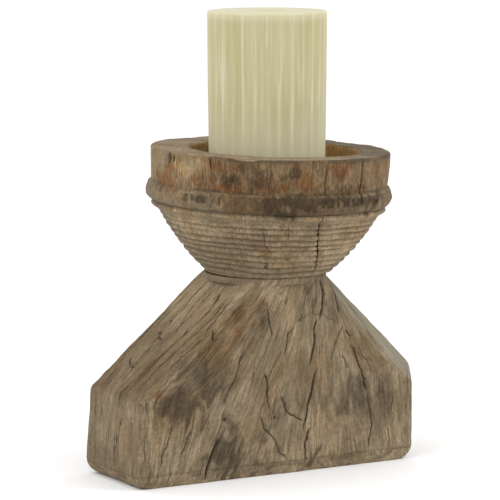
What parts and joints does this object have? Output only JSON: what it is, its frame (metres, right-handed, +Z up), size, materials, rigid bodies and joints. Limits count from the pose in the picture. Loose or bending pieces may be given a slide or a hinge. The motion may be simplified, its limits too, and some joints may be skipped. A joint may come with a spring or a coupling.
{
  "type": "wooden candlestick",
  "caption": "Free-standing aged-wood candlestick: a flared slab base, a turned bowl on a glued dowel, and a loose ribbed pillar candle.",
  "frame": {"origin": "centre of the base block's flat underside, which rests on the table", "axes": "+Z up; X runs along the base's length, with the bowl a little towards +X; Y runs through the base's thickness, with the front face towards -Y"},
  "size_m": [0.2052, 0.1587, 0.2943],
  "materials": {
    "aged_wood": "dry, grey-brown weathered hardwood with deep cracks",
    "aged_bowl_wood": "dry, grey-brown weathered hardwood with turned rings and rust-brown stains",
    "dowel_wood": "plain turned beech",
    "wax": "ivory paraffin wax, satin, slightly translucent",
    "cotton": "braided unburnt cotton wick",
    "tinplate": "thin pressed tinplate"
  },
  "bodies": {
    "holder": {"base_block": "aged_wood", "neck_dowel": "dowel_wood", "bowl": "aged_bowl_wood"},
    "candle": {"candle": "wax", "wick": "cotton", "wick_clip": "tinplate"}
  },
  "joints": [
    {"name": "candle_lift", "type": "slide", "parent": "holder", "child": "candle", "axis": [0, 0, 1], "range_m": [0, 0.06]}
  ]
}
